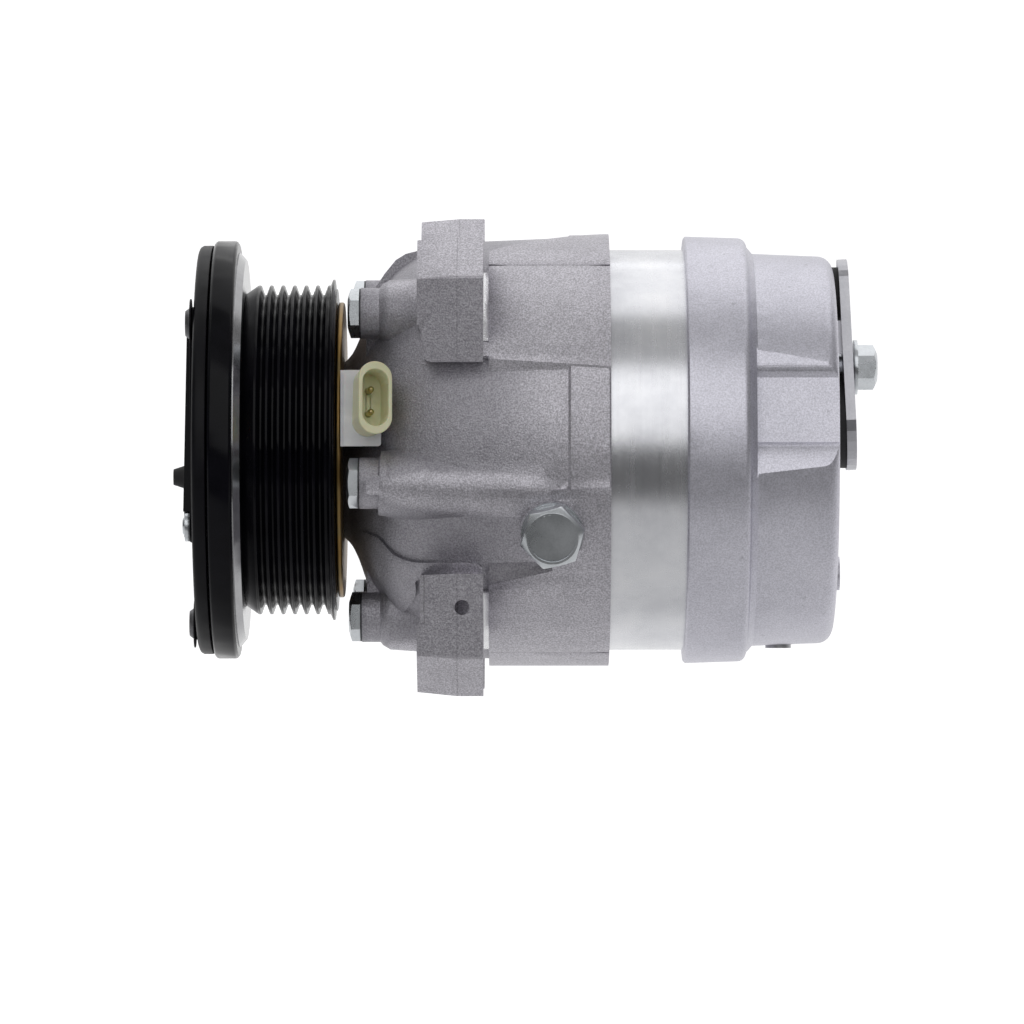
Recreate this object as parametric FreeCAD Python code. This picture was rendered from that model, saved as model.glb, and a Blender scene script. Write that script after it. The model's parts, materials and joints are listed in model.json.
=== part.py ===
import FreeCAD, Part
import math
import os

# Automotive air-conditioning compressor with a magnetic clutch and a tilting wobble plate.
# Millimetres. +X runs from the clutch to the rear head along the shaft, +Z is up.
# The origin is on the shaft axis in the plane of the mounting ears' machined rear faces.
# Angles are measured about the shaft from -Y towards +Z. The near side is -Y.

V = FreeCAD.Vector
LONG = V(1, 0, 0)
ACROSS = V(0, 1, 0)
UP = V(0, 0, 1)

# Small allowances
running_gap = 0.05
curve_gap = 0.35
past = 1.0

# Front head: nose, dome, drum and rim
nose_front_x = -80.0
nose_r = 17.5
nose_shoulder_x = -54.0
nose_shoulder_r = 20.0
dome_front_x = -42.8
dome_outline = ((-42.8, 27.0), (-40.5, 29.5), (-38.3, 34.0), (-36.2, 40.0), (-33.6, 46.0), (-31.0, 49.8),
                (-28.6, 53.2), (-25.4, 56.4), (-20.7, 59.4), (-14.0, 62.2), (-6.0, 63.8), (0.0, 64.1))
drum_rear_r = 65.2
rim_front_x = 26.2
rim_r = 66.0
head_rear_x = 38.2
cavity_r = 58.0
cavity_outline = ((-36.0, 23.0), (-33.0, 29.0), (-30.0, 38.0), (-27.0, 46.0), (-22.0, 53.5), (-15.0, 57.0),
                  (-8.0, 58.0))
seal_bore_r = 13.5
seal_bore_end_x = -60.0
needle_bore_r = 13.0
needle_bore_front_x = -57.0
needle_bore_rear_x = -36.0
seal_groove_x = (-77.5, -76.3)
seal_groove_r = 14.4
bearing_groove_x = (-75.6, -74.4)
bearing_groove_depth = 0.9

# Raised pads around the drum
pad_front_x = 1.6
pad_r = 66.4
pad_step_x = 20.6
strip_r = 65.3
parting_top = 56.65
parting_low = -68.75
parting_gap = 0.06
slit_half_width = 0.5
slit_length = 7.5

# Mounting ears
ear_front_x = -19.8
ear_parting_x = -8.0
ear_hole_y = 52.0
ear_hole_z = 51.0
ear_hole_r = 5.25
dowel_x = -6.3
dowel_z = -47.5
dowel_r = 2.25

# Through bolts and their bosses
bolt_circle_r = 55.0
bolt_angles = (48.0, 124.0, 182.0, 240.0, 292.0, 349.0)
bolt_r = 4.0
bolt_hole_r = 4.2
bolt_clear_r = 4.6
bolt_head_af = 13.0
bolt_head_x = -41.0
bolt_crown_r = 20.0
bolt_seat_x = -37.0
bolt_washer_t = 0.5
bolt_washer_r = 7.5
bolt_end_x = 80.0
boss_outline = ((-37.0, 7.7), (-31.4, 7.7), (-30.6, 8.7), (-28.4, 10.0), (-17.0, 10.8), (-3.0, 9.2),
                (2.0, 7.5))
boss_web_x = (-35.5, -18.0)
boss_web_inner_r = 36.0
boss_web_half_width = 4.5
spotface_r = 9.6
bulge_outline = ((-31.0, 9.6), (-25.0, 10.3), (-12.0, 10.9), (4.0, 11.2), (15.0, 11.2), (20.0, 10.6),
                 (24.0, 9.4))
bulge_dip = 2.4
gusset_height = 1.3

# Oil drain plug
plug_x = 20.6
plug_z = -25.4
plug_seat = 63.5
plug_lean = 10.0
plug_pad_r = 9.8
plug_thread_r = 6.0
plug_washer_r = 9.3
plug_washer_t = 1.5
plug_collar_r = 9.0
plug_head_end = 73.4
plug_af = 17.0
plug_crown_r = 12.0
plug_crown_depth = 9.2
plug_dish_r = 7.0
plug_dish_depth = 0.8
plug_stem_length = 9.5
plug_hole_depth = 14.0

# Cylinder block and valve parts
block_r = 61.5
block_front_x = 34.0
block_rear_x = 79.0
block_band_rear_x = 61.1
spigot_r = 61.3
rear_pocket_r = 50.0
bore_r = 14.5
bore_circle_r = 32.5
bore_angles = (90.0, 162.0, 234.0, 306.0, 18.0)
shaft_bore_r = 11.0
shaft_bore_end_x = 60.0
front_ring_x = (35.3, 37.5)
rear_ring_x = (63.1, 65.3)
ring_groove_depth = 1.8
o_ring_r = 0.88
o_ring_inset = 0.9
suction_circle_r = 22.0
suction_hole_r = 3.2
discharge_circle_r = 38.0
discharge_hole_r = 2.8
reed_plate_rear_x = 79.3
valve_plate_rear_x = 82.3
discharge_reed_rear_x = 82.7
chamber_front_x = 82.9

# Rear head
rear_ring_r = 65.6
rear_ring_rear_x = 80.3
rear_ring_corner_r = 2.5
rear_front_r = 60.3
rear_back_r = 59.5
rear_end_x = 106.8
rear_corner_r = 4.5
rear_step_x = 82.3
chamber_rear_x = 101.5
chamber_wall_in_r = 26.0
chamber_wall_out_r = 29.0
chamber_outer_r = 46.0
recess_upper_wall = ((-52.2, 31.5), (-52.7, 29.0), (-53.3, 26.8), (-53.7, 24.9), (-53.5, 23.0), (-52.6, 21.2))
recess_lower_wall = ((-55.3, 1.8), (-56.8, 0.5), (-58.1, -2.0), (-59.2, -5.2), (-60.2, -9.5))
recess_outer_y = -70.0
rear_boss_z = -38.0
rear_boss_r = 5.2
rear_boss_end_x = 109.3

# Control valve and relief valve
valve_x = 92.0
valve_z = -20.0
valve_bore_r = 9.0
valve_bore_start_y = 32.0
valve_body_length = 26.0
valve_stem_r = 3.9
relief_x = 90.5

# Port cover
cover_front_x = 110.0
cover_rear_x = 113.0
cover_lean = 2.6
low_port_z = 9.0
low_port_r = 8.0
low_lobe_r = 15.3
high_port_z = 48.0
high_port_r = 4.0
high_lobe_z = 49.0
high_lobe_r = 9.6
cover_bolt_z = 25.4
cover_bolt_seat_x = 113.56
cover_bolt_flange_r = 8.4
cover_bolt_end_x = 120.9
cover_bolt_af = 12.0

# Armature, straps and hub
armature_front_x = -87.2
armature_rear_x = -83.0
armature_r = 62.8
armature_bore_r = 26.0
armature_hub_hole_r = 4.6
strap_rear_x = -88.0
strap_front_x = -88.5
strap_half_width = 5.2
strap_eye_r = 7.4
strap_seat_r = 5.0
strap_circle_r = 54.7
strap_angle = 43.6
armature_rivet_x = -89.9
rivet_r = 2.0
hub_front_x = -91.0
hub_rear_x = -88.55
hub_corner_circle_r = 37.6
hub_corner_angle = -38.4
hub_half_width = 4.0
hub_disc_r = 4.7
hub_web_t = 0.4
hub_boss_r = 13.0
hub_boss_rear_x = -78.5
nut_seat_x = -84.5
nut_front_x = -89.4
nut_recess_r = 9.6
stud_r = 5.0
button_circle_r = 18.0
button_angle = -28.0
button_base_r = 3.6
button_tip_r = 2.4
button_length = 3.7

# Pulley and rotor
flange_front_x = -82.5
flange_rear_x = -75.1
flange_r = 64.2
flange_edge = 0.8
slot_circles = (38.0, 50.0)
slot_half_width = 1.2
slot_depth = 3.0
step_rear_x = -72.9
step_r = 60.6
step_chamfer = 2.2
belt_rear_x = -44.9
crest_first_x = -68.8
crest_pitch = 3.56
crest_count = 7
crest_r = 50.6
groove_depth = 2.9
crest_flat = 0.8
groove_flat = 0.7
belt_rim_outline = ((-46.7, 51.4), (-46.3, 52.4), (-45.7, 52.4), (-45.5, 49.5))
belt_inner_r = 44.2
rotor_web_t = 1.0
rotor_tube_r = 30.5
rotor_tube_end_x = -54.0
bearing_out_r = 27.5
bearing_in_r = 17.5
bearing_front_x = -74.0
bearing_rear_x = -54.0
ball_circle_r = 22.5
ball_r = 3.0
ball_rows = (-68.8, -59.2)
balls_in_row = 14

# Clutch coil and connector
coil_front_x = -71.4
coil_web_x = -50.0
coil_flange_front_x = -44.6
coil_flange_r = 45.4
coil_out_r = 43.5
coil_in_r = 31.2
coil_wall_t = 2.1
coil_foot_x = -46.4
connector_x = -34.8
connector_y = -53.0
connector_z = 13.4
connector_swing = 13.0
connector_lift = 8.0
connector_end = 12.4
pin_spacing = 6.8
pin_half_t = 0.95

# Shaft and bearings
shaft_r = 10.0
shaft_front_r = 9.0
shaft_hub_r = 8.0
shaft_end_r = 8.0
shaft_end_x = 64.0
shaft_front_x = -87.6
stud_rear_x = -83.6
seal_land_rear_x = -62.0
needle_land_front_x = -61.0
needle_land_rear_x = -34.0
shaft_shoulder_x = 31.0
front_needle_x = (-56.5, -37.5)
rear_needle_x = (36.0, 58.0)

# Wobble mechanism
tilt_x = 12.0
hinge_ball_r = 15.0
hinge_half_length = 8.0
plate_r = 42.0
plate_front_x = tilt_x - 7.5
plate_rear_x = tilt_x + 3.5
journal_tube_r = 20.5
journal_flange_r = 30.0
journal_flange_x = tilt_x - 10.0
journal_ear_y = (10.6, 14.1)
lug_half_y = 10.2
lug_front_x = -29.0
lug_rear_x = tilt_x - 21.5
lug_flange_x = -33.0
lug_flange_r = 18.0
pin_x = tilt_x - 25.5
pin_z = 21.5
pin_r = 3.0
pin_half_length = 14.2
slot_half_span = 20.5
rod_ball_r = 5.0
rod_neck_r = 3.2
socket_x = 54.5
socket_r = 5.5
piston_rear_x = 44.2
piston_crown_x = 66.2
piston_wall_t = 2.4
piston_boss_r = 8.6
ring_x = (61.2, 63.2)
guide_y = -48.5
guide_r = 3.5
guide_front_x = -17.0
slider_r = 5.2
slider_half_length = 3.5


def around(radius, degrees):
    """Y and Z of a point on a circle about the shaft."""
    turn = math.radians(degrees)
    return -radius * math.cos(turn), radius * math.sin(turn)


def smoothed(points, steps=3):
    """Extra points on a smooth curve through the given ones."""
    padded = [points[0]] + list(points) + [points[-1]]
    curve = []
    for k in range(1, len(padded) - 2):
        before, start, end, after = padded[k - 1:k + 3]
        for step in range(steps):
            t = step / steps
            weights = (-t + 2 * t ** 2 - t ** 3, 2 - 5 * t ** 2 + 3 * t ** 3,
                       t + 4 * t ** 2 - 3 * t ** 3, t ** 3 - t ** 2)
            knots = (before, start, end, after)
            curve.append(tuple(sum(w * p[i] for w, p in zip(weights, knots)) / 2 for i in (0, 1)))
    return curve + [tuple(points[-1])]


def turned(profile):
    """Solid turned about the shaft from a closed outline of (x, r) points."""
    points = [V(x, 0, r) for x, r in profile]
    points.append(points[0])
    face = Part.Face(Part.makePolygon(points))
    return face.revolve(V(0, 0, 0), LONG, 360)


def rod(x0, x1, radius, y=0.0, z=0.0):
    """Cylinder parallel to the shaft."""
    return Part.makeCylinder(radius, x1 - x0, V(x0, y, z), LONG)


def tube(x0, x1, outer, inner, y=0.0, z=0.0):
    """Hollow cylinder parallel to the shaft."""
    return rod(x0, x1, outer, y, z).cut(rod(x0 - past, x1 + past, inner, y, z))


def cross_rod(y0, y1, radius, x, z):
    """Cylinder that runs across, parallel to Y."""
    return Part.makeCylinder(radius, y1 - y0, V(x, y0, z), ACROSS)


def block(x0, x1, y0, y1, z0, z1):
    """Rectangular block between two corners."""
    return Part.makeBox(x1 - x0, y1 - y0, z1 - z0, V(x0, y0, z0))


def outline_wire(x, outline):
    """Closed wire across the shaft from (y, z) points."""
    points = [V(x, y, z) for y, z in outline]
    points.append(points[0])
    return Part.makePolygon(points)


def plate(x0, x1, outline):
    """Flat plate across the shaft from an outline of (y, z) points."""
    return Part.Face(outline_wire(x0, outline)).extrude(V(x1 - x0, 0, 0))


def tapered(x0, outline0, x1, outline1):
    """Straight-sided solid between two outlines with the same number of (y, z) points."""
    return Part.makeLoft([outline_wire(x0, outline0), outline_wire(x1, outline1)], True, True)


def side_plate(y0, y1, outline):
    """Flat plate along the shaft from an outline of (x, z) points."""
    points = [V(x, y0, z) for x, z in outline]
    points.append(points[0])
    return Part.Face(Part.makePolygon(points)).extrude(V(0, y1 - y0, 0))


def hexagon(x0, x1, across_flats, y=0.0, z=0.0, turn=0.0):
    """Hexagonal prism parallel to the shaft."""
    corner = across_flats / math.sqrt(3.0)
    outline = []
    for k in range(6):
        a = math.radians(turn + 60.0 * k)
        outline.append((y + corner * math.cos(a), z + corner * math.sin(a)))
    return plate(x0, x1, outline)


def wedge_outline(start, end, reach=95.0, steps=6):
    """Wedge from the shaft axis between two angles, as (y, z) points."""
    outline = [(0.0, 0.0)]
    for k in range(steps + 1):
        outline.append(around(reach, start + (end - start) * k / steps))
    return outline


def sector(x0, x1, start, end):
    """Wedge-shaped plate from the shaft axis between two angles."""
    return plate(x0, x1, wedge_outline(start, end))


def joined(shapes):
    """One solid from touching or overlapping shapes."""
    whole = shapes[0]
    for shape in shapes[1:]:
        whole = whole.fuse(shape)
    return whole.removeSplitter()


def without(shape, cutters):
    """A shape with all the cutters removed."""
    for cutter in cutters:
        shape = shape.cut(cutter)
    return shape


def straight_edges(shape, direction, size):
    """Round the straight edges that run along a direction."""
    chosen = []
    for edge in shape.Edges:
        if isinstance(edge.Curve, Part.Line) and abs(edge.Curve.Direction.dot(direction)) > 0.999:
            chosen.append(edge)
    return shape.makeFillet(size, chosen)


def corner_arc(centre_x, centre_r, radius, steps=6):
    """Quarter circle from the outside face round to the rear face, as (x, r) points."""
    points = []
    for k in range(steps + 1):
        a = math.radians(90.0 - 90.0 * k / steps)
        points.append((centre_x + radius * math.cos(a), centre_r + radius * math.sin(a)))
    return points


def ring_of_ball(x, radius, hole, half_width, y=0.0, z=0.0):
    """Ball with a hole through it, cut off square at both ends."""
    edge_r = math.sqrt(radius ** 2 - half_width ** 2)
    front = V(x - half_width, 0, edge_r)
    rear = V(x + half_width, 0, edge_r)
    arc = Part.Arc(front, V(x, 0, radius), rear).toShape()
    sides = Part.makePolygon([rear, V(x + half_width, 0, hole), V(x - half_width, 0, hole), front])
    face = Part.Face(Part.Wire([arc] + sides.Edges))
    solid = face.revolve(V(0, 0, 0), LONG, 360)
    solid.translate(V(0, y, z))
    return solid


def through_bolt_places():
    """Y and Z of the six through bolts."""
    return [around(bolt_circle_r, angle) for angle in bolt_angles]


def bore_places():
    """Y and Z of the five cylinder bores."""
    return [around(bore_circle_r, angle) for angle in bore_angles]


def export(shape, name):
    """Write one named piece."""
    shape.exportStep("parts/" + name + ".step")


# ---- front head ----

def head_shell():
    """Domed drum with the bearing nose in front and a rim behind."""
    inside = seal_bore_r - 4.5
    outer = [(nose_front_x, inside), (nose_front_x, nose_r - 0.8), (nose_front_x + 0.8, nose_r)]
    outer += [(nose_shoulder_x, nose_r), (nose_shoulder_x, nose_shoulder_r), (dome_front_x, nose_shoulder_r)]
    outer += smoothed(dome_outline)
    outer += [(rim_front_x - 0.8, drum_rear_r), (rim_front_x, rim_r)]
    outer += [(head_rear_x - 0.5, rim_r), (head_rear_x, rim_r - 0.5), (head_rear_x, inside)]
    return turned(outer)


def head_hollow():
    """Crankcase, bearing and seal bores of the front head."""
    shaft_clear_r = shaft_front_r + 1.3
    bores = [(nose_front_x - past, 0), (nose_front_x - past, seal_bore_r), (seal_bore_end_x, seal_bore_r)]
    bores += [(seal_bore_end_x, shaft_clear_r), (needle_bore_front_x, shaft_clear_r)]
    bores += [(needle_bore_front_x, needle_bore_r), (needle_bore_rear_x, needle_bore_r)]
    bores += list(cavity_outline)
    bores += [(block_front_x, cavity_r), (block_front_x, spigot_r)]
    bores += [(head_rear_x + past, spigot_r), (head_rear_x + past, 0)]
    seal_groove = tube(*seal_groove_x, seal_groove_r, seal_bore_r - past)
    bearing_groove = tube(*bearing_groove_x, nose_r + past, nose_r - bearing_groove_depth)
    return turned(bores).fuse(seal_groove).fuse(bearing_groove)


def drafted_ear(front_outline, full_outline):
    """Ear whose sides widen from its front face to the parting line."""
    front = tapered(ear_front_x, front_outline, ear_parting_x, full_outline)
    return front.fuse(plate(ear_parting_x, 0.0, full_outline))


def near_top_ear():
    """Upper ear on the near side, with a slanted top and a stepped front edge."""
    full = ((-66.0, 25.0), (-66.0, 50.5), (-50.0, 63.4), (-34.0, 63.4), (-34.0, 25.0))
    front = ((-65.2, 25.4), (-65.2, 50.2), (-49.8, 62.4), (-34.4, 62.4), (-34.4, 25.4))
    side = ((-19.8, 70.0), (-19.8, 36.5), (-18.4, 34.5), (-18.4, 28.4), (-17.7, 26.5), (-16.0, 25.6),
            (0.0, 25.6), (0.0, 70.0))
    return drafted_ear(front, full).common(side_plate(-70.0, -30.0, side))


def far_top_ear():
    """Taller upper ear on the far side."""
    full = ((34.0, 27.0), (34.0, 66.0), (44.0, 73.0), (58.0, 73.0), (66.0, 63.0), (66.0, 36.0), (58.0, 27.0))
    front = ((34.4, 27.4), (34.4, 65.4), (44.2, 72.0), (57.6, 72.0), (65.2, 62.5), (65.2, 36.4), (57.6, 27.4))
    return drafted_ear(front, full)


def near_bottom_ear():
    """Lower ear on the near side, with a slanted underside, a stepped front edge and a dowel hole."""
    full = ((-66.0, -37.5), (-66.0, -62.2), (-48.0, -74.4), (-34.0, -74.4), (-34.0, -37.5))
    front = ((-65.2, -38.0), (-65.2, -61.8), (-47.8, -73.2), (-34.4, -73.2), (-34.4, -38.0))
    side = ((-18.8, -36.0), (-18.8, -51.5), (-19.8, -53.5), (-19.8, -80.0), (0.0, -80.0), (0.0, -36.0))
    ear = drafted_ear(front, full).common(side_plate(-70.0, -30.0, side))
    front_corner = Part.Face(Part.makePolygon([V(-22.0, -60.4, -52.5), V(-22.0, -68.0, -52.5),
                                               V(-15.0, -68.0, -52.5), V(-22.0, -60.4, -52.5)]))
    dowel = cross_rod(-70.0, -50.0, dowel_r, dowel_x, dowel_z)
    return without(ear, [front_corner.extrude(V(0, 0, 20.0)), dowel])


def far_bottom_ear():
    """Lower ear on the far side."""
    full = ((34.0, -27.0), (58.0, -27.0), (66.0, -36.0), (66.0, -62.2), (48.0, -74.4), (34.0, -74.4))
    front = ((34.4, -27.4), (57.6, -27.4), (65.2, -36.4), (65.2, -61.8), (47.8, -73.2), (34.4, -73.2))
    return drafted_ear(front, full)


def bolt_bosses():
    """Stepped bosses under the through-bolt heads, running back into the drum."""
    profile = [(boss_outline[0][0], 0)] + list(boss_outline) + [(boss_outline[-1][0], 0)]
    shapes = []
    for angle in bolt_angles:
        y, z = around(bolt_circle_r, angle)
        boss = turned(profile)
        boss.translate(V(0, y, z))
        shapes.append(boss)
        web = block(*boss_web_x, -bolt_circle_r, -boss_web_inner_r, -boss_web_half_width, boss_web_half_width)
        web.rotate(V(0, 0, 0), LONG, -angle)
        shapes.append(web)
    return shapes


def side_bulge():
    """Long bulge that runs back from the middle near-side bolt boss, with a ridge in front."""
    y, z = around(bolt_circle_r, bolt_angles[5])
    outline = smoothed(bulge_outline)
    bulge = turned([(outline[0][0], 0)] + outline + [(outline[-1][0], 0)])
    bulge.rotate(V(bulge_outline[0][0], 0, 0), ACROSS, bulge_dip)
    bulge.translate(V(0, y, z))
    ridge = block(-34.9, -20.0, -63.4, -52.0, z - 3.4, z + 2.2)
    return [bulge, straight_edges(ridge, ACROSS, 1.2)]


def dome_ribs():
    """Arched rib on the dome's upper shoulder and a gusset in front of the lower near ear."""
    arch = ((-34.4, 44.0), (-34.3, 47.0), (-33.1, 49.8), (-30.5, 53.8), (-27.0, 58.1), (-23.9, 60.0),
            (-20.7, 60.8), (-16.0, 62.6), (-16.0, 50.0), (-28.0, 42.0))
    gusset = ((-36.5, -25.0), (-31.6, -27.0), (-27.4, -31.6), (-22.4, -33.9), (-16.0, -34.4), (-2.0, -34.6),
              (-2.0, -38.6), (-19.0, -38.8), (-20.5, -44.5), (-25.5, -50.0), (-31.0, -44.0), (-34.5, -38.0))
    proud = [(x, r + gusset_height) for x, r in smoothed(dome_outline)]
    proud = turned([(dome_front_x, 0)] + proud + [(proud[-1][0], 0)])
    return [side_plate(-9.0, -4.0, arch), side_plate(-66.0, -30.0, smoothed(gusset)).common(proud)]


def machined_strips():
    """Turned strips between the ears' rear faces and the pads."""
    strips = []
    for start, end in ((29.4, 54.5), (-68.5, -41.6), (125.5, 150.6), (-138.4, -111.5)):
        ring = tube(-0.2, pad_front_x + 0.1, strip_r, cavity_r + past)
        strips.append(ring.common(sector(-0.2, pad_front_x + 0.1, start, end)))
    return strips


def mirrored(outline, side):
    """The same outline on the near side (1) or the far side (-1)."""
    return [(y * side, z) for y, z in outline]


def upper_pad_outlines():
    """Front and rear outlines of the upper side pad, with the sloped wall under it."""
    top = around(95.0, parting_top - parting_gap)
    front = ((0.0, 0.0), (-59.0, 18.0), (-60.8, 26.7), (-80.0, 35.1), top)
    rear = ((0.0, 0.0), (-60.3, 18.0), (-61.75, 24.4), (-80.0, 31.6), top)
    return front, rear


def lower_pad_outlines():
    """Front and rear outlines of the lower side pad, with the flat wall above it."""
    low = around(95.0, parting_low + parting_gap)
    front = ((0.0, 0.0), (-55.9, -30.1), (-52.1, -41.0), (-75.0, -57.5), low)
    rear = ((0.0, 0.0), (-54.85, -30.0), (-55.2, -36.7), (-75.0, -50.7), low)
    return front, rear


def raised_pads():
    """Raised pads behind the ears, cast a little proud of the rim."""
    ring = tube(pad_front_x, head_rear_x, pad_r, cavity_r + past)
    step = tube(-0.2, pad_front_x + 0.1, pad_r, cavity_r + past)
    shapes = [ring.common(sector(pad_front_x, head_rear_x, parting_low - parting_gap, -111.1))]
    upper_front, upper_rear = upper_pad_outlines()
    lower_front, lower_rear = lower_pad_outlines()
    crown_front = wedge_outline(parting_top + parting_gap, 65.2)
    crown_rear = wedge_outline(parting_top + parting_gap, 86.0)
    skirt_front = wedge_outline(-11.0, parting_low + parting_gap)
    skirt_rear = wedge_outline(-10.2, parting_low + parting_gap)
    corner = wedge_outline(24.4, 28.6)
    for side in (1, -1):
        wedges = [tapered(pad_front_x, mirrored(upper_front, side), head_rear_x, mirrored(upper_rear, side)),
                  tapered(pad_front_x, mirrored(crown_front, side), head_rear_x, mirrored(crown_rear, side)),
                  tapered(pad_front_x, mirrored(lower_front, side), pad_step_x, mirrored(lower_rear, side)),
                  tapered(pad_step_x, mirrored(skirt_front, side), head_rear_x, mirrored(skirt_rear, side))]
        shapes += [ring.common(wedge) for wedge in wedges]
        shapes.append(step.common(plate(-0.2, pad_front_x + 0.1, mirrored(corner, side))))
    return shapes


def parting_slits():
    """V-shaped openings at the ends of the parting lines between the pads."""
    rear_open = head_rear_x + 0.1
    places = ((parting_top, pad_front_x - 0.1, 1), (parting_top, rear_open, -1), (parting_low, rear_open, -1))
    slits = []
    for angle, open_x, way in places:
        tip = open_x + way * slit_length
        corners = ((tip, 0.0), (open_x, slit_half_width), (open_x, -slit_half_width))
        slit = side_plate(-pad_r - past, -strip_r + 0.2, corners)
        slit.rotate(V(0, 0, 0), LONG, -angle)
        slits.append(slit)
    return slits


def to_plug(shape):
    """Lay a piece made along X onto the drain plug's axis, which leans down from the near side."""
    laid = shape.copy()
    laid.rotate(V(0, 0, 0), UP, -90.0)
    laid.translate(V(0, plug_seat, 0))
    laid.rotate(V(0, 0, 0), LONG, plug_lean)
    laid.translate(V(plug_x, -plug_seat, plug_z))
    return laid


def front_head():
    shapes = [head_shell(), near_top_ear(), far_top_ear(), near_bottom_ear(), far_bottom_ear()]
    shapes += bolt_bosses()
    shapes += side_bulge()
    shapes += dome_ribs()
    shapes += machined_strips()
    shapes += raised_pads()
    shapes.append(to_plug(rod(plug_seat - 7.0, plug_seat, plug_pad_r)))
    casting = joined(shapes)
    holes = [head_hollow()]
    for y, z in through_bolt_places():
        holes.append(rod(bolt_seat_x - past, head_rear_x + past, bolt_clear_r, y, z))
        holes.append(rod(bolt_seat_x - 6.0, bolt_seat_x, spotface_r, y, z))
    for y in (-ear_hole_y, ear_hole_y):
        for z in (-ear_hole_z, ear_hole_z):
            holes.append(rod(ear_front_x - past, past, ear_hole_r, y, z))
    holes.append(to_plug(rod(plug_seat - plug_hole_depth, plug_seat + past, plug_thread_r + 0.1)))
    return without(casting, holes + parting_slits())


# ---- cylinder block and valve parts ----

def cylinder_block():
    front_r = spigot_r - running_gap
    rear_r = rear_pocket_r - running_gap
    profile = [(block_front_x, 0), (block_front_x, front_r), (head_rear_x, front_r), (head_rear_x, block_r)]
    profile += [(block_band_rear_x, block_r), (block_band_rear_x, rear_r), (block_rear_x, rear_r)]
    profile += [(block_rear_x, 0)]
    cutters = [tube(*front_ring_x, spigot_r + past, spigot_r - ring_groove_depth)]
    cutters.append(tube(*rear_ring_x, rear_pocket_r + past, rear_pocket_r - ring_groove_depth))
    cutters.append(rod(block_front_x - past, shaft_bore_end_x, shaft_bore_r))
    cutters.append(rod(shaft_bore_end_x - past, shaft_end_x + 3.0, shaft_end_r + 1.0))
    for y, z in bore_places():
        cutters.append(rod(block_front_x - past, block_rear_x + past, bore_r, y, z))
    for y, z in through_bolt_places():
        cutters.append(rod(block_front_x - past, block_band_rear_x + past, bolt_hole_r, y, z))
    cutters.append(rod(block_front_x - past, block_front_x + 8.0, guide_r, guide_y, 0.0))
    return without(turned(profile), cutters)


def valve_hole_places():
    """Suction holes near the shaft and discharge holes near the rim, with their radii."""
    holes = []
    for angle in bore_angles:
        holes.append((around(suction_circle_r, angle), suction_hole_r))
        holes.append((around(discharge_circle_r, angle), discharge_hole_r))
    return holes


def pocket_disc(x0, x1):
    """Round disc that fills the rear head's pocket."""
    return rod(x0, x1, rear_pocket_r - running_gap)


def valve_plate():
    holes = []
    for (y, z), radius in valve_hole_places():
        holes.append(rod(reed_plate_rear_x - past, valve_plate_rear_x + past, radius, y, z))
    return without(pocket_disc(reed_plate_rear_x, valve_plate_rear_x), holes)


def suction_reed_plate():
    """Thin plate with a reed tongue cut out in front of each suction hole."""
    front = block_rear_x - past
    rear = reed_plate_rear_x + past
    cutters = []
    for angle in bore_angles:
        y, z = around(discharge_circle_r, angle)
        cutters.append(rod(front, rear, discharge_hole_r + 1.7, y, z))
        slot = tube(front, rear, suction_hole_r + 2.8, suction_hole_r + 1.6, *around(suction_circle_r, angle))
        root = sector(front, rear, angle - 9.0, angle + 9.0).common(rod(front, rear, suction_circle_r + 8.0))
        root = root.cut(rod(front - past, rear + past, suction_circle_r))
        cutters.append(slot.cut(root))
    return without(pocket_disc(block_rear_x, reed_plate_rear_x), cutters)


def discharge_reeds():
    """Reed leaves behind the discharge holes, on a common ring."""
    leaves = [tube(valve_plate_rear_x, discharge_reed_rear_x, 36.0, 31.0)]
    for angle in bore_angles:
        y, z = around(discharge_circle_r, angle)
        leaves.append(rod(valve_plate_rear_x, discharge_reed_rear_x, discharge_hole_r + 1.4, y, z))
    return joined(leaves)


def head_gasket():
    front = valve_plate_rear_x - past
    rear = chamber_front_x + past
    inner = rod(front, rear, chamber_wall_in_r)
    annulus = tube(front, rear, chamber_outer_r, chamber_wall_out_r)
    return without(pocket_disc(valve_plate_rear_x, chamber_front_x), [inner, annulus])


def rear_head_shell():
    """Ring and cup of the rear head, with rounded rear edges."""
    profile = [(block_band_rear_x, 0), (block_band_rear_x, rear_ring_r - 0.6)]
    profile.append((block_band_rear_x + 0.6, rear_ring_r))
    corner_x = rear_ring_rear_x - rear_ring_corner_r
    profile += corner_arc(corner_x, rear_ring_r - rear_ring_corner_r - 0.5, rear_ring_corner_r)
    profile.append((rear_step_x, rear_front_r))
    profile += corner_arc(rear_end_x - rear_corner_r, rear_back_r - rear_corner_r, rear_corner_r)
    profile.append((rear_end_x, 0))
    return turned(profile)


def side_recess():
    """Shallow lengthwise recess on the near side of the rear head."""
    outline = [(recess_outer_y, recess_upper_wall[0][1] + 9.0)] + smoothed(recess_upper_wall)
    outline += smoothed(recess_lower_wall) + [(recess_outer_y, recess_lower_wall[-1][1] - 3.0)]
    return plate(rear_step_x - 0.4, rear_end_x + past, outline)


def rear_head_ports():
    """The two port passages and the threaded hole for the cover bolt."""
    start = chamber_rear_x - past
    end = rear_end_x + past
    return [rod(start, end, low_port_r, 0.0, low_port_z), rod(start, end, high_port_r, 0.0, high_port_z),
            rod(95.5, end, bolt_r, 0.0, cover_bolt_z)]


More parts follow.
